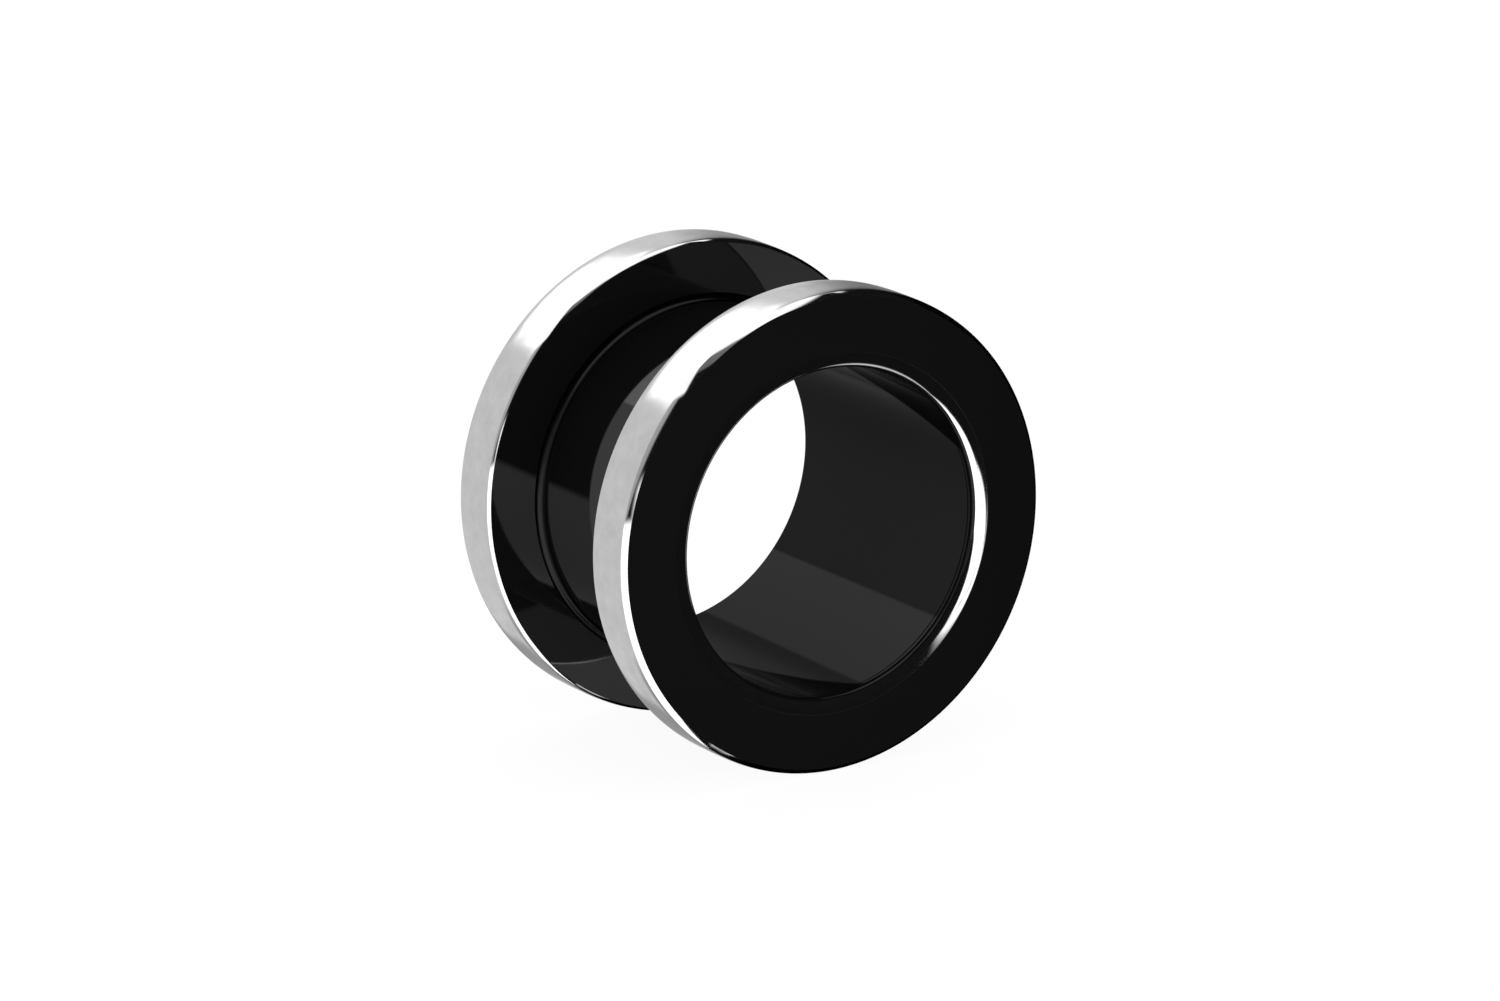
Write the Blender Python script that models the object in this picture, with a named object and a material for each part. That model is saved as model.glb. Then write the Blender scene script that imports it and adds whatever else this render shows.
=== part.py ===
"""Screw-fit ear tunnel in two-tone steel: a flanged barrel, and a front flange that screws onto it.

Units are metres and +Z is up. The bore runs along Y with the front facing -Y. The tunnel lies on the rims of
its two flanges, and the origin is under its middle, at the level that it lies on.
"""

import math

import bmesh
import bpy
from mathutils import Matrix, Vector

# Driving dimensions of the whole tunnel
FLANGE_RADIUS = 0.0094
BARREL_RADIUS = 0.0070
BORE_RADIUS = 0.0064
TOTAL_LENGTH = 0.0120
FLANGE_THICKNESS = 0.00225

# Edges
RIM_BEVEL = 0.00017
ROOT_FILLET = 0.0003
BACK_ROUNDING = 0.0002
MOUTH_WIDTH = 0.00055
MOUTH_DEPTH = 0.00025

# Thread that joins the two pieces
LIP_THICKNESS = 0.00045
THREAD_PITCH = 0.0005
THREAD_DEPTH = 0.00012
SPIGOT_RADIUS = 0.00678
RUNNING_GAP = 0.0001
SEAT_GAP = 0.00006

# How finely round shapes are divided
SIDES = 32
CORNER_STEPS = 4
RINGS_PER_PITCH = 4
SHARP_ANGLE = math.radians(30)

# Places along the bore, worked out from the dimensions
FRONT_Y = -TOTAL_LENGTH / 2
BACK_Y = TOTAL_LENGTH / 2
RING_BACK_Y = FRONT_Y + FLANGE_THICKNESS
BACK_FLANGE_Y = BACK_Y - FLANGE_THICKNESS
LIP_BACK_Y = FRONT_Y + LIP_THICKNESS
SPIGOT_END_Y = LIP_BACK_Y + SEAT_GAP
SHOULDER_Y = RING_BACK_Y + SEAT_GAP
RING_BORE_RADIUS = SPIGOT_RADIUS + RUNNING_GAP

# Finishes
COAT_COLOUR = (0.006, 0.006, 0.007, 1.0)
STEEL_COLOUR = (0.62, 0.61, 0.60, 1.0)


def clear_scene():
    """Remove every object that the file was opened with."""
    for existing in list(bpy.data.objects):
        bpy.data.objects.remove(existing)


def metal(name, colour, roughness):
    """A Principled material for one finish of the metal."""
    material = bpy.data.materials.new(name)
    material.use_nodes = True
    shader = material.node_tree.nodes["Principled BSDF"]
    shader.inputs["Base Color"].default_value = colour
    shader.inputs["Metallic"].default_value = 1.0
    shader.inputs["Roughness"].default_value = roughness
    return material


def corner(start, end, bend):
    """Points of a quarter of an ellipse from start to end, bowed towards the point named bend.

    All three points are (place along Y, radius), and the start and the end are both among the points.
    """
    centre_y = start[0] + end[0] - bend[0]
    centre_r = start[1] + end[1] - bend[1]
    points = []
    for step in range(CORNER_STEPS + 1):
        angle = math.pi / 2 * step / CORNER_STEPS
        from_start = math.cos(angle)
        from_end = math.sin(angle)
        y = centre_y + (start[0] - centre_y) * from_start + (end[0] - centre_y) * from_end
        r = centre_r + (start[1] - centre_r) * from_start + (end[1] - centre_r) * from_end
        points.append((y, r))
    return points


def thread_stations(from_y, to_y, radius):
    """Evenly spaced section points along a threaded wall, fine enough to carry the thread's form."""
    count = round(abs(to_y - from_y) / THREAD_PITCH * RINGS_PER_PITCH)
    return [(from_y + (to_y - from_y) * step / count, radius) for step in range(count + 1)]


def flange_rim(outer_face_y, inner_face_y):
    """The four section points of a flange's rim, from its outer face to its inner face."""
    inwards = math.copysign(RIM_BEVEL, inner_face_y - outer_face_y)
    return [
        (outer_face_y, FLANGE_RADIUS - RIM_BEVEL),
        (outer_face_y + inwards, FLANGE_RADIUS),
        (inner_face_y - inwards, FLANGE_RADIUS),
        (inner_face_y, FLANGE_RADIUS - RIM_BEVEL),
    ]


def flanged_barrel_section():
    """Section of the back flange, the barrel and its spigot, as (place along Y, radius)."""
    section = flange_rim(BACK_Y, BACK_FLANGE_Y)
    section += corner(
        (BACK_FLANGE_Y, BARREL_RADIUS + ROOT_FILLET),
        (BACK_FLANGE_Y - ROOT_FILLET, BARREL_RADIUS),
        (BACK_FLANGE_Y, BARREL_RADIUS),
    )
    section.append((SHOULDER_Y, BARREL_RADIUS))
    section += thread_stations(SHOULDER_Y, SPIGOT_END_Y + THREAD_DEPTH, SPIGOT_RADIUS)
    section.append((SPIGOT_END_Y, SPIGOT_RADIUS - THREAD_DEPTH))
    section.append((SPIGOT_END_Y, BORE_RADIUS))
    section += corner(
        (BACK_Y - BACK_ROUNDING, BORE_RADIUS),
        (BACK_Y, BORE_RADIUS + BACK_ROUNDING),
        (BACK_Y, BORE_RADIUS),
    )
    return section


def screw_flange_section():
    """Section of the front flange with its thread and its lip, as (place along Y, radius)."""
    section = flange_rim(FRONT_Y, RING_BACK_Y)
    section.append((RING_BACK_Y, RING_BORE_RADIUS + THREAD_DEPTH))
    section += thread_stations(RING_BACK_Y - THREAD_DEPTH, LIP_BACK_Y, RING_BORE_RADIUS)
    section.append((LIP_BACK_Y, BORE_RADIUS))
    section += corner(
        (FRONT_Y + MOUTH_DEPTH, BORE_RADIUS),
        (FRONT_Y, BORE_RADIUS + MOUTH_WIDTH),
        (FRONT_Y, BORE_RADIUS),
    )
    return section


def turn(section):
    """Spin a closed section about the Y axis, with a flat side down.

    The flats lie at the true radii, so the corners between them stand a little further out.
    """
    half_side = math.pi / SIDES
    mesh = bmesh.new()
    corners = [mesh.verts.new((0.0, y, -r / math.cos(half_side))) for y, r in section]
    for here, following in zip(corners, corners[1:] + corners[:1]):
        mesh.edges.new((here, following))
    bmesh.ops.rotate(mesh, verts=corners, cent=(0, 0, 0), matrix=Matrix.Rotation(half_side, 3, "Y"))
    bmesh.ops.spin(
        mesh,
        geom=mesh.verts[:] + mesh.edges[:],
        cent=(0, 0, 0),
        axis=(0, 1, 0),
        dvec=(0, 0, 0),
        angle=2 * math.pi,
        steps=SIDES,
        use_merge=True,
    )
    bmesh.ops.recalc_face_normals(mesh, faces=mesh.faces)
    return mesh


def cut_thread(mesh, from_y, to_y, wall_radius, depth):
    """Cut a helical groove into a plain round wall between two places along Y.

    A positive depth cuts outwards into a nut's wall, and a negative one inwards into a screw's.
    """
    corner_scale = 1 / math.cos(math.pi / SIDES)
    low_y, high_y = sorted((from_y, to_y))
    margin = THREAD_PITCH / RINGS_PER_PITCH / 2
    for vertex in mesh.verts:
        radius = math.hypot(vertex.co.x, vertex.co.z)
        on_wall = abs(radius - wall_radius * corner_scale) < THREAD_DEPTH / 4
        if not on_wall or not low_y + margin < vertex.co.y < high_y - margin:
            continue
        turns = vertex.co.y / THREAD_PITCH - math.atan2(vertex.co.z, vertex.co.x) / (2 * math.pi)
        groove = 1 - abs(2 * (turns % 1) - 1)
        moved = (wall_radius + depth * groove) * corner_scale
        vertex.co.x *= moved / radius
        vertex.co.z *= moved / radius


def paint_bare_metal(mesh):
    """Give the rim, its bevels and the mouth's rounded edge the second material, bare steel."""
    for face in mesh.faces:
        centre = face.calc_center_median()
        radius = math.hypot(centre.x, centre.z)
        on_rim = radius > FLANGE_RADIUS - RIM_BEVEL
        in_mouth = centre.y < FRONT_Y + MOUTH_DEPTH and radius < BORE_RADIUS + MOUTH_WIDTH
        square_to_bore = abs(face.normal.y) > 0.999
        face.material_index = int((on_rim or in_mouth) and not square_to_bore)


def add_piece(name, mesh, materials):
    """Make a named object of the mesh, with its origin on the bore's axis."""
    paint_bare_metal(mesh)
    data = bpy.data.meshes.new(name)
    mesh.to_mesh(data)
    mesh.free()
    for material in materials:
        data.materials.append(material)
    data.shade_smooth()
    data.set_sharp_from_angle(angle=SHARP_ANGLE)
    piece = bpy.data.objects.new(name, data)
    piece.location = Vector((0.0, 0.0, FLANGE_RADIUS))
    bpy.context.scene.collection.objects.link(piece)
    return piece


def build():
    """Make the two pieces of the tunnel, screwed together."""
    clear_scene()
    bare_steel = metal("bare_steel", STEEL_COLOUR, 0.22)

    barrel = turn(flanged_barrel_section())
    cut_thread(barrel, SHOULDER_Y, SPIGOT_END_Y + THREAD_DEPTH, SPIGOT_RADIUS, -THREAD_DEPTH)
    barrel_coat = metal("flanged_barrel_coat", COAT_COLOUR, 0.08)
    add_piece("flanged_barrel", barrel, [barrel_coat, bare_steel])

    ring = turn(screw_flange_section())
    cut_thread(ring, RING_BACK_Y - THREAD_DEPTH, LIP_BACK_Y, RING_BORE_RADIUS, THREAD_DEPTH)
    ring_coat = metal("screw_flange_coat", COAT_COLOUR, 0.08)
    add_piece("screw_flange", ring, [ring_coat, bare_steel])


build()
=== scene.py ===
# %% [markdown]
# # A two-tone screw-fit ear tunnel
#
# An ear tunnel is a short open tube that sits in a stretched earlobe. This one is turned from surgical
# steel in two pieces: a barrel with a fixed back flange, and a front flange that screws onto the barrel's
# end. Both were given a hard black coat. Then the rims and the mouth of the bore were machined again, so
# that bare bright steel frames each black face. The lesson builds the smooth, finished surfaces around the
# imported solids, which are plainer and have flat sides.

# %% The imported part
import math

import bmesh
import bpy
from mathutils import Matrix, Vector


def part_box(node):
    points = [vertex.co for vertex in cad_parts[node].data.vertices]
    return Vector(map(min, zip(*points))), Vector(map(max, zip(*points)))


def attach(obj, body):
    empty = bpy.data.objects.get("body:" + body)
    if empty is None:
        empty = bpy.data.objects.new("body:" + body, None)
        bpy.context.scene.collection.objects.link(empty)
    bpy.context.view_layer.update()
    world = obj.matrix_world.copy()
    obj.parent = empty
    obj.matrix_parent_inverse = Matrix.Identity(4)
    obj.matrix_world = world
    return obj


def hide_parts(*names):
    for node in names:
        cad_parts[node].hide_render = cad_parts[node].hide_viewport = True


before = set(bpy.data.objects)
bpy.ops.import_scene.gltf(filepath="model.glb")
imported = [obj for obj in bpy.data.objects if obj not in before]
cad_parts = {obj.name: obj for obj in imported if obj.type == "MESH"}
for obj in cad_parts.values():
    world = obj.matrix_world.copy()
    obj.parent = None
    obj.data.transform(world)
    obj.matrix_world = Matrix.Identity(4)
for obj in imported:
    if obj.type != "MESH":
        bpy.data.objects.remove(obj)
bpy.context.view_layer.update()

# %% [markdown]
# ## Sizes
#
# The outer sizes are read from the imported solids, so the finished surfaces can't drift from them. The two
# radii that a jeweller would ask for, the barrel's and the bore's, are written in millimetres. The finer
# sizes follow in the cells that use them.

# %% Sizes of the whole tunnel
MM = 0.001
barrel_low, barrel_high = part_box("flanged_barrel")
ring_low, ring_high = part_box("screw_flange")
FRONT_Y = ring_low.y
RING_BACK_Y = ring_high.y
BACK_Y = barrel_high.y
AXIS_HEIGHT = (barrel_low.z + barrel_high.z) / 2
FLANGE_RADIUS = (barrel_high.z - barrel_low.z) / 2
FLANGE_THICKNESS = RING_BACK_Y - FRONT_Y
BACK_FLANGE_Y = BACK_Y - FLANGE_THICKNESS
BARREL_RADIUS = 7.0 * MM
BORE_RADIUS = 6.4 * MM
print("flange", round(FLANGE_RADIUS * 2 / MM, 2), "mm across,", round(FLANGE_THICKNESS / MM, 2), "mm thick")

# %% [markdown]
# ## Turning a section
#
# Everything on this object is round about the bore, as it came off a lathe. So a piece is drawn as a
# section: a closed line of points, each of them a place along the bore and a radius. Each stretch of that
# line carries the finish that the turner left there. A cylinder with boolean cuts could give the same
# shape, but a section keeps the roundings exact and lets the bare steel stop at a clean line.
#
# Smooth shading bends the light near a corner. The flat stretches therefore get a support point close to
# each end, which keeps a mirror-like face flat right up to its edge.

# %% A section and its finishes
SUPPORT = 0.02 * MM
# Two of these blacks, the one for the groove and thread and the one for the barrel, are the same coat
# painted lighter: painted light where the walls around them keep light away.
DEEP_BLACK, LIGHTENED_BLACK, PART_LIGHTENED_BLACK, ROOT_BLACK, SATIN, BRIGHT = range(6)


class Section:
    """A closed section of a turned piece, drawn one stretch at a time."""

    def __init__(self, start):
        self.points = [start]
        self.finishes = []

    def add(self, points, finish):
        """Continue the section through these points, with one finish."""
        for point in points:
            self.points.append(point)
            self.finishes.append(finish)

    def flat(self, end, finish):
        """Continue straight to a point, with support points if there is room for them."""
        start = self.points[-1]
        length = math.dist(start, end)
        ends = [end]
        if length > SUPPORT * 4:
            near = SUPPORT / length
            inner = [tuple(start[i] + (end[i] - start[i]) * t for i in (0, 1)) for t in (near, 1 - near)]
            ends = inner + ends
        self.add(ends, finish)


print("four blacks,", DEEP_BLACK, "to", ROOT_BLACK, "and two steels,", SATIN, "and", BRIGHT)

# %% [markdown]
# ## The thread
#
# The front flange screws onto a thinner spigot at the barrel's end. The thread shows only when the tunnel
# is opened. Its pitch of half a millimetre is a guess, as fine as such a thin wall allows. A thread could
# be swept as a coil and cut out, but it is so shallow that it is easier to move the wall's own points in
# and out with their angle and their place along the bore.

# %% Sizes and form of the thread
THREAD_PITCH = 0.5 * MM
THREAD_DEPTH = 0.12 * MM
SPIGOT_RADIUS = 6.78 * MM
RING_BORE_RADIUS = 6.88 * MM
LIP_THICKNESS = 0.45 * MM
SEAT_GAP = 0.02 * MM
LIP_BACK_Y = FRONT_Y + LIP_THICKNESS
SPIGOT_END_Y = barrel_low.y
SHOULDER_Y = RING_BACK_Y + SEAT_GAP
RINGS_PER_PITCH = 12


def groove(y, angle, low_y, high_y):
    """Depth of the helical groove at a point: 0 at the crest, 1 at the root, with a short run-out."""
    turns = y / THREAD_PITCH - angle / (2 * math.pi)
    run_out = min(1, (y - low_y) / THREAD_DEPTH, (high_y - y) / THREAD_DEPTH)
    return max(0, run_out) * (1 - abs(2 * (turns % 1) - 1))


def threaded_wall(from_y, to_y, radius):
    """Points along a wall that a thread is cut into, close enough to carry its form."""
    count = round(abs(to_y - from_y) / THREAD_PITCH * RINGS_PER_PITCH)
    return [(from_y + (to_y - from_y) * step / count, radius) for step in range(count + 1)]


print("thread", round((SHOULDER_Y - SPIGOT_END_Y) / THREAD_PITCH, 1), "turns")

# %% [markdown]
# ## A flange's rim
#
# From a distance a rim is a plain steel band. Light shows more: the band is crowned by a few thousandths
# of a millimetre, the buffing cloth has softened its edges, and there is a bevel on each side of it. The
# bevel at the black outer face is the wide one, because it frames the face. The one towards the lobe only
# breaks the edge. A flat band would be simpler, but it would mirror one single tone, where the crown lets
# a highlight fade across it.

# %% Drawing a rim
ARC_STEPS = 10
RIM_BEVEL = 0.19 * MM
INNER_BEVEL = 0.11 * MM
BEVEL_CROWN = 0.004 * MM
RIM_CROWN = 0.008 * MM
RIM_EDGE_ROUNDING = 0.03 * MM
EDGE_SHARPNESS = 7


def crowned(start, end, rise, edge_rise=0.0, steps=ARC_STEPS * 3):
    """Points of a nearly straight stretch whose middle stands out from the bore by rise.

    A further edge_rise is won only close to the two ends, as where a cloth has rounded an edge.
    """
    points = []
    for step in range(1, steps + 1):
        t = 0.5 - 0.5 * math.cos(math.pi * step / steps)
        from_middle = abs(2 * t - 1)
        y = start[0] + (end[0] - start[0]) * t
        r = start[1] + (end[1] - start[1]) * t
        r += rise * (1 - from_middle ** 2) + edge_rise * (1 - from_middle ** EDGE_SHARPNESS)
        points.append((y, r))
    return points


def add_rim(section, outer_y, inner_y):
    """Draw a rim from its outer face to its inner one: bright bevel, crowned satin band, bright bevel."""
    inwards = math.copysign(1, inner_y - outer_y)
    edge = FLANGE_RADIUS - RIM_CROWN - RIM_EDGE_ROUNDING
    outer_foot = (outer_y, edge - RIM_BEVEL)
    outer_edge = (outer_y + inwards * RIM_BEVEL, edge)
    inner_edge = (inner_y - inwards * INNER_BEVEL, edge)
    inner_foot = (inner_y, edge - INNER_BEVEL)
    section.flat(outer_foot, DEEP_BLACK)
    section.add(crowned(outer_foot, outer_edge, BEVEL_CROWN, steps=ARC_STEPS), BRIGHT)
    section.add(crowned(outer_edge, inner_edge, RIM_CROWN, RIM_EDGE_ROUNDING), SATIN)
    section.add(crowned(inner_edge, inner_foot, BEVEL_CROWN, steps=ARC_STEPS), BRIGHT)


print("band", round((FLANGE_THICKNESS - RIM_BEVEL - INNER_BEVEL) / MM, 2), "mm between its bevels")

# %% [markdown]
# ## The barrel's section
#
# The section starts at the bore's back end and runs round the piece: back face, rim, groove side of the
# flange, fillet, barrel, shoulder, threaded spigot and back through the bore. The fillet at the barrel's
# root is what a round-nosed tool leaves, and it is why the root mirrors a thin curved line of light. One
# long list of coordinates could give the same line, but drawn a stretch at a time each finish stands beside
# the shape that it belongs to.

# %% The barrel's section
ROOT_FILLET = 0.3 * MM
BACK_ROUNDING = 0.2 * MM


def quarter(start, end, bend, steps=ARC_STEPS):
    """Points of a quarter of an ellipse from start to end, bowed towards bend, without the start."""
    centre = (start[0] + end[0] - bend[0], start[1] + end[1] - bend[1])
    points = []
    for step in range(1, steps + 1):
        angle = math.pi / 2 * step / steps
        points.append(tuple(
            centre[i] + (start[i] - centre[i]) * math.cos(angle) + (end[i] - centre[i]) * math.sin(angle)
            for i in (0, 1)
        ))
    return points


barrel_section = Section((BACK_Y, BORE_RADIUS + BACK_ROUNDING))
add_rim(barrel_section, BACK_Y, BACK_FLANGE_Y)
barrel_section.flat((BACK_FLANGE_Y, BARREL_RADIUS + ROOT_FILLET), LIGHTENED_BLACK)
fillet_end = (BACK_FLANGE_Y - ROOT_FILLET, BARREL_RADIUS)
root_fillet = quarter(barrel_section.points[-1], fillet_end, (BACK_FLANGE_Y, BARREL_RADIUS))
barrel_section.add(root_fillet, ROOT_BLACK)
barrel_section.flat((SHOULDER_Y, BARREL_RADIUS), PART_LIGHTENED_BLACK)
spigot_wall = threaded_wall(SHOULDER_Y, SPIGOT_END_Y + THREAD_DEPTH, SPIGOT_RADIUS)
barrel_section.add(spigot_wall, LIGHTENED_BLACK)
barrel_section.flat((SPIGOT_END_Y, SPIGOT_RADIUS - THREAD_DEPTH), LIGHTENED_BLACK)
barrel_section.flat((SPIGOT_END_Y, BORE_RADIUS), LIGHTENED_BLACK)
barrel_section.flat((BACK_Y - BACK_ROUNDING, BORE_RADIUS), DEEP_BLACK)
mouth_end = (BACK_Y, BORE_RADIUS + BACK_ROUNDING)
back_mouth = quarter(barrel_section.points[-1], mouth_end, (BACK_Y, BORE_RADIUS))
barrel_section.add(back_mouth, DEEP_BLACK)
print("barrel's section", len(barrel_section.points), "points")

# %% [markdown]
# ## The mouth of the bore
#
# The front mouth carries the brightest line of the whole object. The bore's wall turns through a small
# corner that kept its black coat, and then a wide, soft rounding in bare steel runs out to the face. Two
# arcs that share a tangent draw it. The first has a radius of 0.25 mm and turns from the wall, at 90
# degrees to the face, to 25 degrees. The second, of 1.38 mm, runs from there to 4 degrees and meets the
# face. One quarter circle would be simpler, but it squeezes the highlight to a hairline, where the real
# one is a broad crescent.

# %% The mouth's two arcs
MOUTH_CORNER = 0.25 * MM
MOUTH_BUFFING = 1.38 * MM
MOUTH_WALL_ANGLE, MOUTH_MIDDLE_ANGLE, MOUTH_EDGE_ANGLE = 90, 25, 4


def arc(start, radius, start_angle, end_angle, steps=ARC_STEPS):
    """Points of an arc that rounds an edge from the bore's wall towards the front face, with its start.

    The angles are those between the surface and the front face, in degrees.
    """
    points = []
    for step in range(steps + 1):
        angle = math.radians(start_angle + (end_angle - start_angle) * step / steps)
        y = start[0] - radius * (math.cos(angle) - math.cos(math.radians(start_angle)))
        r = start[1] + radius * (math.sin(math.radians(start_angle)) - math.sin(angle))
        points.append((y, r))
    return points


mouth_corner = arc((0, BORE_RADIUS), MOUTH_CORNER, MOUTH_WALL_ANGLE, MOUTH_MIDDLE_ANGLE)
mouth_cone = arc(mouth_corner[-1], MOUTH_BUFFING, MOUTH_MIDDLE_ANGLE, MOUTH_EDGE_ANGLE)
to_face = FRONT_Y - mouth_cone[-1][0]
mouth_corner, mouth_cone = ([(y + to_face, r) for y, r in part] for part in (mouth_corner, mouth_cone))
print("mouth", round((mouth_cone[-1][1] - BORE_RADIUS) / MM, 2), "mm wide")

# %% [markdown]
# ## The screwed flange's section
#
# The front flange is a ring. Its section starts where the mouth meets the face, and runs over the rim, down
# the side towards the lobe, along the thread and behind the lip that covers the spigot's end. It could be
# a mirrored copy of the back flange, but it has a thread and a mouth of its own, so it gets its own section.

# %% The screwed flange's section
ring_section = Section(mouth_cone[-1])
add_rim(ring_section, FRONT_Y, RING_BACK_Y)
ring_section.flat((RING_BACK_Y, RING_BORE_RADIUS + THREAD_DEPTH), PART_LIGHTENED_BLACK)
nut_wall = threaded_wall(RING_BACK_Y - THREAD_DEPTH, LIP_BACK_Y, RING_BORE_RADIUS)
ring_section.add(nut_wall, LIGHTENED_BLACK)
ring_section.flat((LIP_BACK_Y, BORE_RADIUS), LIGHTENED_BLACK)
ring_section.flat(mouth_corner[0], DEEP_BLACK)
ring_section.add(mouth_corner[1:-1], DEEP_BLACK)
ring_section.add(mouth_corner[-1:], BRIGHT)
ring_section.add(mouth_cone[1:], BRIGHT)
print("screwed flange's section", len(ring_section.points), "points")

# %% [markdown]
# ## The two pieces
#
# Each section is spun about the bore into one closed mesh, as each piece is one lump of steel. The rings of
# points are laid out in a loop here and not by a modifier, so that the threaded wall can move its points
# while they are made. Sharp edges are marked where two finishes meet at a clear angle.
#
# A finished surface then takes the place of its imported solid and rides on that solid's body. The front
# flange so moves off along its thread with its own rim and mouth.

# %% Spinning a section
SIDES = 256
SHARP_ANGLE = math.radians(30)


def spin(name, section, thread):
    """Spin a section about the bore's axis into one closed mesh object, and cut its thread."""
    mesh = bmesh.new()
    rings = []
    for y, r in section.points[:-1]:
        ring = []
        on_thread = abs(r - thread["wall"]) < SUPPORT / 4 and thread["low"] < y < thread["high"]
        for side in range(SIDES):
            angle = 2 * math.pi * side / SIDES
            radius = r
            if on_thread:
                radius += thread["depth"] * groove(y, angle, thread["low"], thread["high"])
            place = (radius * math.cos(angle), y, AXIS_HEIGHT + radius * math.sin(angle))
            ring.append(mesh.verts.new(place))
        rings.append(ring)
    for index, finish in enumerate(section.finishes):
        here, following = rings[index], rings[(index + 1) % len(rings)]
        for side in range(SIDES):
            beside = (side + 1) % SIDES
            face = mesh.faces.new((here[side], here[beside], following[beside], following[side]))
            face.material_index = finish
            face.smooth = True
    bmesh.ops.recalc_face_normals(mesh, faces=mesh.faces)
    data = bpy.data.meshes.new(name)
    mesh.to_mesh(data)
    mesh.free()
    data.set_sharp_from_angle(angle=SHARP_ANGLE)
    piece = bpy.data.objects.new(name, data)
    bpy.context.scene.collection.objects.link(piece)
    print(name, len(section.finishes), "stretches,", len(data.polygons), "faces")
    return piece


# %% The barrel and the screwed flange
turned_barrel = spin("turned_barrel", barrel_section, thread={
    "wall": SPIGOT_RADIUS, "depth": -THREAD_DEPTH, "low": SPIGOT_END_Y + THREAD_DEPTH, "high": SHOULDER_Y,
})
turned_ring = spin("turned_ring", ring_section, thread={
    "wall": RING_BORE_RADIUS, "depth": THREAD_DEPTH, "low": LIP_BACK_Y, "high": RING_BACK_Y - THREAD_DEPTH,
})
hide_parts("flanged_barrel")
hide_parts("screw_flange")
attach(turned_barrel, "barrel")
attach(turned_ring, "front_flange")

# %% [markdown]
# ## Helpers for node materials
#
# Every finish below is a small tree of nodes. One function adds a node, sets it and links its inputs, so
# that a finish reads as a list of what it is made of. Colours are written as the sRGB hex values that a
# picture editor shows, and one function turns them to the linear values that the shader works with.

# %% Colours and nodes
def linear(hex_colour):
    """An sRGB hex colour as the linear values that Blender's shaders take."""
    channels = [int(hex_colour[i:i + 2], 16) / 255 for i in (1, 3, 5)]
    return tuple(c / 12.92 if c <= 0.04045 else ((c + 0.055) / 1.055) ** 2.4 for c in channels) + (1.0,)


def add_node(tree, kind, inputs=(), **settings):
    """Add a node to a tree. Settings are attributes, and inputs are (name or number, value or socket)."""
    node = tree.nodes.new("ShaderNode" + kind)
    for name, value in settings.items():
        setattr(node, name, value)
    for name, value in inputs:
        if isinstance(value, bpy.types.NodeSocket):
            tree.links.new(value, node.inputs[name])
        else:
            node.inputs[name].default_value = value
    return node


def new_material(name):
    """An empty node material, with its tree and its shader."""
    material = bpy.data.materials.new(name)
    material.use_nodes = True
    tree = material.node_tree
    return material, tree, tree.nodes["Principled BSDF"]


print("mid grey #808080 is", round(linear("#808080")[0], 3), "in linear light")

# %% [markdown]
# ## Where a lathe tool passed
#
# A turned surface carries marks that run round it, because the work spins past a nearly still tool. To draw
# them, each point gets a place across the tool's path, from its radius and its place along the bore, and a
# place round the circle. Noise that is squeezed across the path and stretched round the circle gives lines
# like a tool's. The sine and cosine of the angle are used and not the angle itself, so there is no seam.
# An anisotropic gloss could stretch the highlights in the same way, but it would show no single lines.

# %% Coordinates of a turned surface
ALONG_SHARE = 1.3           # not 1, because on a 45 degree bevel the two would then cancel out


def turned_place(tree, lines_per_mm, waves_round):
    """A vector for noise: fine across the tool's path, slow round the circle."""
    spot = add_node(tree, "TexCoord").outputs["Object"]
    parts = add_node(tree, "SeparateXYZ", [(0, spot)]).outputs
    up = add_node(tree, "Math", [(0, parts["Z"]), (1, AXIS_HEIGHT)], operation="SUBTRACT").outputs[0]
    flat_spot = add_node(tree, "CombineXYZ", [("X", parts["X"]), ("Y", up)]).outputs[0]
    radius = add_node(tree, "VectorMath", [(0, flat_spot)], operation="LENGTH").outputs["Value"]
    unit = add_node(tree, "VectorMath", [(0, flat_spot)], operation="NORMALIZE").outputs[0]
    round_parts = add_node(tree, "SeparateXYZ", [(0, unit)]).outputs
    along = add_node(tree, "Math", [
        (0, parts["Y"]), (1, ALONG_SHARE), (2, radius)], operation="MULTIPLY_ADD").outputs[0]
    across = add_node(tree, "Math", [(0, along), (1, lines_per_mm / MM)], operation="MULTIPLY").outputs[0]
    place = add_node(tree, "CombineXYZ", [("X", across)])
    for name, part in (("Y", "X"), ("Z", "Y")):
        scaled = add_node(tree, "Math", [(0, round_parts[part]), (1, waves_round)], operation="MULTIPLY")
        tree.links.new(scaled.outputs[0], place.inputs[name])
    return place.outputs[0]


print("marks run round an axis", round(AXIS_HEIGHT / MM, 2), "mm above the floor")

# %% [markdown]
# ## The black coat
#
# Coats like this are mostly laid down as a vapour, a few thousandths of a millimetre thick, on steel that
# was polished first. They are a metal compound and not paint, so the coat is drawn as a metal with a very
# dark colour: it has no milky look, and it shows the studio sharply. Black paint under a clear varnish
# could be tried instead, but it would mirror the studio as brightly as glass does, and these faces are
# darker than that. What tells the coat from plain black is small: hairlines of the polishing, which only
# show at a reflection's edge, and a faint unevenness in the gloss from handling.

# %% Black hard coat
COAT_LINES_PER_MM = 9       # the real hairlines are about 40 per mm, drawn coarser so that they show
COAT_WAVES_ROUND = 3        # at the rim, a hairline then fades after about 3 mm
COAT_SMUDGE_MM = 3.0        # the size of the patches that fingertips leave
COAT_GLOSS_SPREAD = 1.8
COAT_EDGE_COLOUR = "#BBBBBB"


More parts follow.
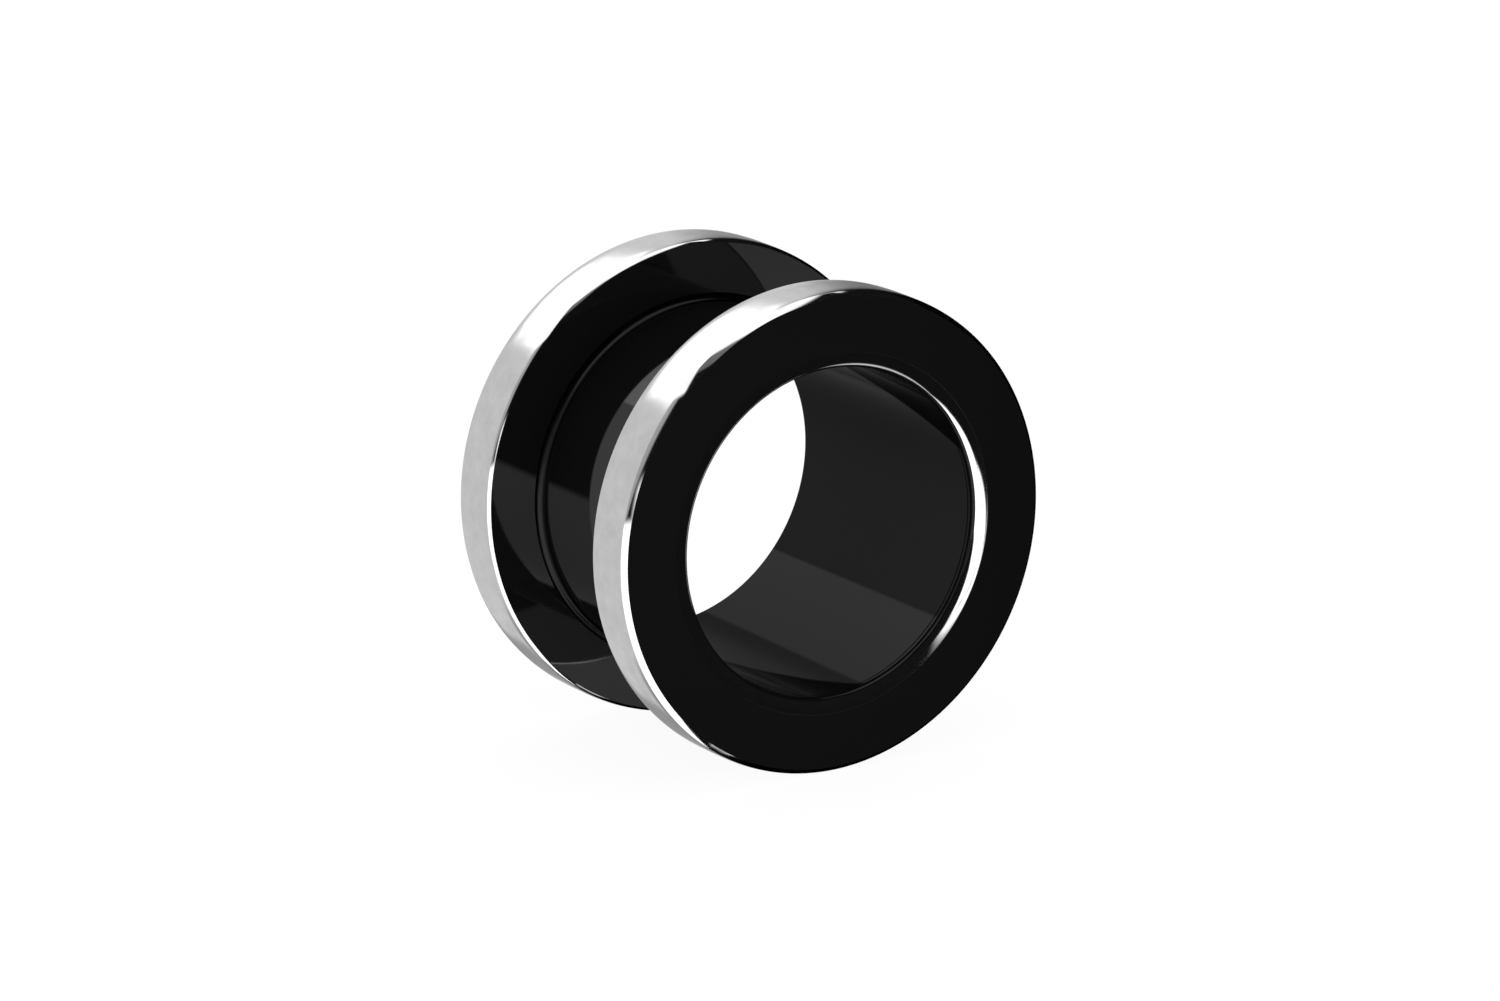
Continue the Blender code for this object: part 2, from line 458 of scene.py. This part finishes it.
def black_coat(name, hex_colour, metallic, base_roughness, line_height):
    """Deep, wet-looking black with sharp reflections, and hairlines that catch the light at their edges."""
    material, tree, shader = new_material(name)
    shader.inputs["Base Color"].default_value = linear(hex_colour)
    shader.inputs["Metallic"].default_value = metallic
    shader.inputs["Specular IOR Level"].default_value = 0.0
    shader.inputs["Specular Tint"].default_value = linear(COAT_EDGE_COLOUR)
    lined_place = turned_place(tree, COAT_LINES_PER_MM, COAT_WAVES_ROUND)
    lines = add_node(tree, "TexNoise", [("Vector", lined_place), ("Scale", 1.0), ("Detail", 3.0)])
    spot = add_node(tree, "TexCoord").outputs["Object"]
    smudge = add_node(tree, "TexNoise", [
        ("Vector", spot), ("Scale", 1 / (COAT_SMUDGE_MM * MM)), ("Detail", 2.0)])
    gloss = add_node(tree, "MapRange", [
        ("Value", smudge.outputs[0]), ("From Min", 0.35), ("From Max", 0.7),
        ("To Min", base_roughness), ("To Max", base_roughness * COAT_GLOSS_SPREAD)])
    tree.links.new(gloss.outputs[0], shader.inputs["Roughness"])
    bump = add_node(tree, "Bump", [
        ("Height", lines.outputs[0]), ("Distance", line_height), ("Strength", 1.0)])
    tree.links.new(bump.outputs[0], shader.inputs["Normal"])
    return material


print("hairlines", round(1 / COAT_LINES_PER_MM, 2), "mm apart")

# %% [markdown]
# The coat shows four tones, and each gets its own version. The outer faces and the bore are the deepest
# black. The sides of the groove and the thread look at another black wall, which takes most of their light
# away, so their version is the same coat painted lighter, painted light that keeps the groove from looking
# like a hole without form. The barrel's version is painted lighter in the same way, between the two. The
# fillet at its root was left as the tool made it, and its roughness spreads a reflection to a soft line.
#
# A metallic value under 1 dims the mirror. The share that isn't metal would add a gloss of its own, so the
# specular level is set to nothing, and the grey specular tint holds back the glare at a grazing angle.

# %% Four versions of the coat
deep_black = black_coat(
    "black_hard_coat_deep", "#262626", metallic=0.8, base_roughness=0.04, line_height=0.00004 * MM)
# Painted light: the same coat painted lighter, for the groove's sides and the thread, which black walls keep
# in shade.
lightened_black = black_coat(
    "black_hard_coat_with_painted_light", "#7E7E7E", metallic=0.98, base_roughness=0.03, line_height=0.00003 * MM)
# Painted light: the same coat painted a little lighter, for the barrel and the lobe side of the front
# flange.
part_lightened_black = black_coat(
    "black_hard_coat_with_less_painted_light", "#3E3E3E", metallic=0.92, base_roughness=0.03, line_height=0.00003 * MM)
root_black = black_coat(
    "black_hard_coat_turned_root", "#242424", metallic=1.0, base_roughness=0.18, line_height=0.0006 * MM)
print("coats", [coat.name for coat in (deep_black, lightened_black, part_lightened_black, root_black)])

# %% [markdown]
# ## The bare steel
#
# After coating, the rims were turned again, which left bright surgical steel with a fine satin. The bevels
# and the mouth were buffed last and are nearly mirrors. Both are the same metal: only the roughness and the
# marks differ, so one function makes both. The satin's softness comes from roughness, its slight clouds
# from a gloss that wanders, and its grain from two bumps, one that runs round the rim and one that doesn't.

# %% Bare surgical steel
STEEL_LINES_PER_MM = 14     # turning marks of about 0.03 mm feed, drawn at 0.07 mm so that they show
STEEL_WAVES_ROUND = 4       # at the rim, a turning mark then fades after about 2.3 mm
STEEL_BLOTCH_MM = 0.6       # the clouds that a cloth leaves in the satin
STEEL_GRAIN_MM = 0.05       # a fine abrasive's grain is about 0.02 mm, drawn coarser so that it shows
STEEL_SHADE = "#BDBDBD"


def bare_steel(name, hex_colour, roughest, smoothest, line_height, grain_height):
    """Bright neutral steel whose gloss wanders a little, with lines round the rim and a fine grain."""
    material, tree, shader = new_material(name)
    shader.inputs["Metallic"].default_value = 1.0
    spot = add_node(tree, "TexCoord").outputs["Object"]
    blotch = add_node(tree, "TexNoise", [
        ("Vector", spot), ("Scale", 1 / (STEEL_BLOTCH_MM * MM)), ("Detail", 3.0)])
    gloss = add_node(tree, "MapRange", [
        ("Value", blotch.outputs[0]), ("From Min", 0.3), ("From Max", 0.7),
        ("To Min", smoothest), ("To Max", roughest)])
    tree.links.new(gloss.outputs[0], shader.inputs["Roughness"])
    tone = add_node(tree, "Mix", [
        ("Factor", blotch.outputs[0]), ("A", linear(hex_colour)), ("B", linear(STEEL_SHADE))],
        data_type="RGBA")
    tree.links.new(tone.outputs["Result"], shader.inputs["Base Color"])
    lined_place = turned_place(tree, STEEL_LINES_PER_MM, STEEL_WAVES_ROUND)
    lines = add_node(tree, "TexNoise", [("Vector", lined_place), ("Scale", 1.0), ("Detail", 2.0)])
    grain = add_node(tree, "TexNoise", [
        ("Vector", spot), ("Scale", 1 / (STEEL_GRAIN_MM * MM)), ("Detail", 2.0)])
    lined = add_node(tree, "Bump", [
        ("Height", lines.outputs[0]), ("Distance", line_height), ("Strength", 1.0)])
    grained = add_node(tree, "Bump", [
        ("Height", grain.outputs[0]), ("Distance", grain_height), ("Strength", 1.0),
        ("Normal", lined.outputs[0])])
    tree.links.new(grained.outputs[0], shader.inputs["Normal"])
    return material


satin_steel = bare_steel(
    "surgical_steel_fine_turned", "#D6D6D6", roughest=0.2, smoothest=0.12,
    line_height=0.0002 * MM, grain_height=0.0006 * MM)
bright_steel = bare_steel(
    "surgical_steel_buffed", "#E2E2E2", roughest=0.07, smoothest=0.04,
    line_height=0.00005 * MM, grain_height=0.00005 * MM)
for piece in (turned_barrel, turned_ring):
    for material in (deep_black, lightened_black, part_lightened_black, root_black, satin_steel, bright_steel):
        piece.data.materials.append(material)
print("finishes", [material.name for material in turned_ring.data.materials])

# %% [markdown]
# ## Floor
#
# The tunnel was photographed on white without a horizon, and its shadow is almost gone, as on a sheet of
# opal acrylic that is lit from below. The sheet here glows by itself a little under white, and a small
# share of scattered light lets the rims leave the faintest shadow where they touch it. A white floor under
# a strong lamp could be used too, but one that glows is evenly white at once. The metal doesn't mirror this
# sheet, because the studio described next has its own boards under the horizon.

# %% Opal acrylic floor
FLOOR_HALF = 3.0
floor_data = bpy.data.meshes.new("floor")
floor_corners = [(x * FLOOR_HALF, y * FLOOR_HALF, 0) for x, y in ((-1, -1), (1, -1), (1, 1), (-1, 1))]
floor_data.from_pydata(floor_corners, [], [(0, 1, 2, 3)])
floor = bpy.data.objects.new("floor", floor_data)
bpy.context.scene.collection.objects.link(floor)
opal, opal_tree, opal_shader = new_material("opal_acrylic_lit_from_below")
opal_shader.inputs["Base Color"].default_value = linear("#555555")
opal_shader.inputs["Roughness"].default_value = 0.6
opal_shader.inputs["Specular IOR Level"].default_value = 0.0
opal_shader.inputs["Emission Color"].default_value = linear("#FFFFFF")
opal_shader.inputs["Emission Strength"].default_value = 0.93
floor_data.materials.append(opal)
floor.visible_glossy = False
print("floor", FLOOR_HALF * 2, "m wide")

# %% [markdown]
# ## Studio
#
# Polished metal shows its surroundings and little else, so lighting it means placing bright and dark shapes
# for it to mirror. The studio is a world drawn by direction: a dark room with white boards and softboxes.
# Area lamps could do the same, but a board far away gives cleaner edges on a part this small. Each board
# has a range of azimuth, counted in degrees from the back towards the right, a range of elevation, a light,
# a soft edge and a roll. Where boards overlap, the brighter one shows. Only reflections see them. The
# camera and the floor see plain white.
#
# To place a board, ask which way a surface sends the eye's line of sight. The bands, the barrel and the
# bore's wall all run along the bore, so from this camera they mirror what stands behind the object. The
# side board is for an eye that has walked round to the right of it.

# %% Boards that the bands, the barrel and the bore mirror
def board_at(azimuth, elevation, light, soft=3, roll=0):
    """One board of the studio: two ranges in degrees, its light, and a soft edge and a roll in degrees."""
    return {"azimuth": azimuth, "elevation": elevation, "light": light, "soft": soft, "roll": roll}


BACK_BOARDS = {
    "key_softbox": board_at((-24, 23), (28, 68), 2.0, soft=2, roll=5),
    "key_softbox_left": board_at((-44, -8), (31, 67), 2.0, soft=2, roll=-27),
    "left_board": board_at((-112, -24), (-75, 60), 0.86, soft=6),
    "back_board": board_at((-40, 34.5), (-24, 50), 0.84, soft=10),
    "back_board_low": board_at((-40, 10), (-41, 50), 0.84, soft=10),
    "back_floor": board_at((-40, 36.5), (-80, -18), 0.38, soft=12),
    "side_board": board_at((83, 96), (-55, -8), 0.55, soft=4),
}
print(len(BACK_BOARDS), "boards behind and beside")

# %% [markdown]
# The bevels face half outwards and half to the front, so they look up, down and to the left, past the
# camera. The overhead softboxes draw the thin white lines at the top of both flanges, the screens keep the
# upper left bevel grey, and the low board on the left draws the white edge of the front face.

# %% Boards that the bevels mirror
BEVEL_BOARDS = {
    "overhead_softbox": board_at((60, 217), (59.5, 100), 1.6),
    "overhead_right": board_at((40, 108), (53, 100), 1.6),
    "overhead_back": board_at((-140, 60), (66, 100), 1.6),
    "overhead_left": board_at((218, 260), (43, 100), 1.6),
    "left_screen": board_at((229, 253), (1, 57), 0.5, roll=22),
    "left_screen_top": board_at((172, 226), (52, 64), 0.2),
    "low_left": board_at((222, 248.5), (-100, 0), 2.0, soft=4),
    "low_left_tip": board_at((222, 231.5), (-10, 13), 2.0, soft=8),
}
print(len(BEVEL_BOARDS), "boards above and to the left")

# %% [markdown]
# The mouth's crescent is the picture of one low softbox in front. The crescent is widest in the middle and
# runs out to points, and its outer edge leans, so the softbox has a slanted and pointed left side. It is put
# together from straight boards that overlap. A card near the floor draws the thin line over the mouth. The
# black front face mirrors a single small and dim card, which lifts it from dead black to the photograph's
# very dark grey, and the room in front has a trace of light for the same reason.

# %% Boards that the mouth and the front face mirror
FRONT_BOARDS = {
    "low_front": board_at((177.2, 222), (-48, -8), 2.0, roll=2),
    "low_front_top": board_at((170, 200), (-14, -2), 2.0, roll=-28),
    "low_front_foot": board_at((175.5, 190), (-56, -40), 1.0),
    "low_front_middle": board_at((166, 182), (-16, -4), 2.0),
    "low_front_upper_end": board_at((152.6, 176), (-7.5, -2.5), 2.0, soft=5, roll=45),
    "low_front_lower_end": board_at((157, 179), (-17.6, -12), 2.0, roll=-33),
    "floor_card": board_at((112, 185), (-85, -52), 0.8, soft=5),
    "dim_card": board_at((145.5, 150), (-18, -13), 0.13),
    "room_front": board_at((92, 320), (-100, 100), 0.008, soft=6),
}
print(len(FRONT_BOARDS), "boards in front")

# %% [markdown]
# A board becomes a mask over all directions. The direction is turned by the board's roll about its middle,
# and the distance from that middle is compared with half of each range. An image of the studio would do
# the same job, but a board that is a few numbers can be moved by a degree and looked at again.

# %% A board as a mask
def board_mask(tree, azimuth, elevation, board):
    """1 inside a board and 0 outside it, with its soft edge."""
    middle = [sum(board[axis]) / 2 for axis in ("azimuth", "elevation")]
    half = [(board[axis][1] - board[axis][0]) / 2 for axis in ("azimuth", "elevation")]
    turned = add_node(tree, "Math", [(0, azimuth), (1, middle[0])], operation="SUBTRACT").outputs[0]
    beside = add_node(tree, "Math", [(0, turned), (1, 180.0), (2, -180.0)], operation="WRAP").outputs[0]
    above = add_node(tree, "Math", [(0, elevation), (1, middle[1])], operation="SUBTRACT").outputs[0]
    offset = add_node(tree, "CombineXYZ", [("X", beside), ("Y", above)]).outputs[0]
    rolled = add_node(tree, "VectorRotate", [
        ("Vector", offset), ("Angle", math.radians(-board["roll"]))], rotation_type="Z_AXIS").outputs[0]
    distance = add_node(tree, "VectorMath", [(0, rolled)], operation="ABSOLUTE").outputs[0]
    sides = add_node(tree, "SeparateXYZ", [(0, distance)]).outputs
    half_soft = board["soft"] / 2
    edges = []
    for side, reach in zip(sides, half):
        edge = add_node(tree, "MapRange", [
            ("Value", side), ("From Min", reach + half_soft), ("From Max", reach - half_soft)],
            interpolation_type="SMOOTHSTEP")
        edges.append(edge.outputs[0])
    return add_node(tree, "Math", [(0, edges[0]), (1, edges[1])], operation="MULTIPLY").outputs[0]


boards = {**BACK_BOARDS, **BEVEL_BOARDS, **FRONT_BOARDS}
print("brightest board", max(board["light"] for board in boards.values()))

# %% [markdown]
# The world turns each direction into its azimuth and elevation once, lays the boards over the dark room one
# by one, and shows the result to reflections only.

# %% The world
ROOM_LIGHT = 0.0005
world = bpy.data.worlds.new("studio")
world.use_nodes = True
bpy.context.scene.world = world
sky = world.node_tree
towards = add_node(sky, "SeparateXYZ", [(0, add_node(sky, "TexCoord").outputs["Generated"])]).outputs
turn_angle = add_node(sky, "Math", [(0, towards["X"]), (1, towards["Y"])], operation="ARCTAN2").outputs[0]
rise_angle = add_node(sky, "Math", [(0, towards["Z"])], operation="ARCSINE").outputs[0]
azimuth = add_node(sky, "Math", [(0, turn_angle)], operation="DEGREES").outputs[0]
elevation = add_node(sky, "Math", [(0, rise_angle)], operation="DEGREES").outputs[0]
brightness = ROOM_LIGHT
for board in boards.values():
    mask = board_mask(sky, azimuth, elevation, board)
    glow = add_node(sky, "Math", [(0, mask), (1, board["light"])], operation="MULTIPLY").outputs[0]
    brightness = add_node(sky, "Math", [(0, brightness), (1, glow)], operation="MAXIMUM").outputs[0]
mirrored = add_node(sky, "LightPath").outputs["Is Glossy Ray"]
shown = add_node(sky, "Mix", [("Factor", mirrored), ("A", 1.0), ("B", brightness)], data_type="FLOAT")
sky.links.new(shown.outputs[0], sky.nodes["Background"].inputs["Strength"])
sky.nodes["Background"].inputs["Color"].default_value = linear("#FFFFFF")
bpy.context.scene.view_settings.view_transform = "Standard"
print("studio", len(boards), "boards,", len(sky.nodes), "nodes")

# %% [markdown]
# ## Camera
#
# The photograph looks at the tunnel from the left and a little from above. A circle seen at an angle is an
# ellipse, and the shapes of the two flanges' ellipses and the way they are offset give that angle. How much
# smaller the back flange looks gives the distance, about 300 mm, and the lens follows from the size in the
# frame. The camera isn't aimed at the tunnel, because aiming would change its angle. It keeps its
# direction and stands a little aside, so that the front face's centre falls on the right pixel.

# %% The camera's place
CAMERA_AZIMUTH = math.radians(-32.65)
CAMERA_ELEVATION = math.radians(15.51)
CAMERA_DISTANCE = 300 * MM
CAMERA_LENS = 191.0
SENSOR_WIDTH = 36.0
FRAME_WIDTH, FRAME_HEIGHT = 1500, 1001
FRONT_FACE_PIXEL = (834.4, 534.5)

forward = Vector((
    -math.sin(CAMERA_AZIMUTH) * math.cos(CAMERA_ELEVATION),
    math.cos(CAMERA_AZIMUTH) * math.cos(CAMERA_ELEVATION),
    -math.sin(CAMERA_ELEVATION),
))
rightward = Vector((math.cos(CAMERA_AZIMUTH), math.sin(CAMERA_AZIMUTH), 0))
upward = rightward.cross(forward)
pixels_per_tangent = CAMERA_LENS / SENSOR_WIDTH * FRAME_WIDTH
across = (FRONT_FACE_PIXEL[0] - FRAME_WIDTH / 2) / pixels_per_tangent
down = (FRONT_FACE_PIXEL[1] - FRAME_HEIGHT / 2) / pixels_per_tangent
front_centre = Vector((0, FRONT_Y, AXIS_HEIGHT))
print("scale at the front face", round(pixels_per_tangent * MM / CAMERA_DISTANCE, 2), "pixels per mm")

# %% The camera
camera_data = bpy.data.cameras.new("photo_camera")
camera_data.lens = CAMERA_LENS
camera_data.sensor_width = SENSOR_WIDTH
camera_data.clip_start = 0.01
camera = bpy.data.objects.new("photo_camera", camera_data)
camera.location = front_centre - CAMERA_DISTANCE * (forward + across * rightward - down * upward)
camera.rotation_euler = Matrix((rightward, upward, -forward)).transposed().to_euler()
bpy.context.scene.collection.objects.link(camera)
bpy.context.scene.camera = camera
print("camera at", [round(value / MM, 1) for value in camera.location], "mm")
